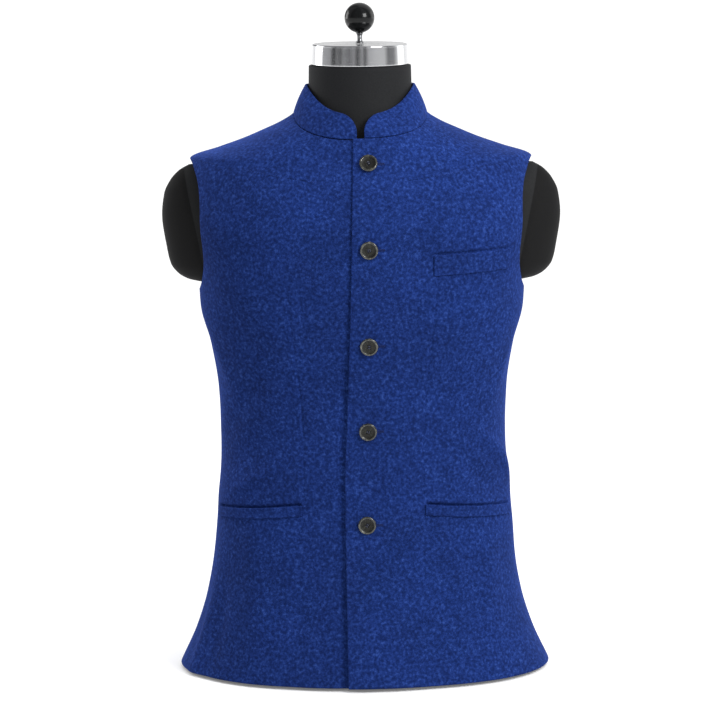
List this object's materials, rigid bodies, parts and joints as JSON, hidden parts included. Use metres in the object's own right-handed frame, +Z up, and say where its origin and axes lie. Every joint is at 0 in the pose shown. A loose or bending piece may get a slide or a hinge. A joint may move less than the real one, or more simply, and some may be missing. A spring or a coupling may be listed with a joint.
{
  "type": "nehru jacket on a dress form",
  "caption": "Sleeveless band-collar jacket, buttoned down the front with three welt pockets, worn by a counter-top dress form with short arm stubs, a metal neck cap and a knob.",
  "frame": {"origin": "middle of the flat lower end of the dress form, on the surface that it stands on", "axes": "+Z up along the form, -Y towards the jacket's front, +X towards the wearer's left"},
  "size_m": [0.494, 0.2853, 0.8331],
  "materials": {
    "wool_cloth": "royal navy melange wool-blend tweed, soft and matt with a faint nap",
    "button": "dark imitation horn, polished rim, duller dish",
    "form_cover": "black stretch jersey over a moulded form",
    "neck_cap": "polished chrome",
    "stem": "bright turned steel",
    "knob": "gloss black"
  },
  "bodies": {
    "root": {"front_left": "wool_cloth", "front_right": "wool_cloth", "back": "wool_cloth", "collar": "wool_cloth", "chest_welt": "wool_cloth", "hip_welt_left": "wool_cloth", "hip_welt_right": "wool_cloth", "button_1": "button", "button_2": "button", "button_3": "button", "button_4": "button", "button_5": "button", "dress_form": "form_cover", "neck_cap": "neck_cap", "knob_stem": "stem", "knob": "knob"}
  },
  "joints": []
}
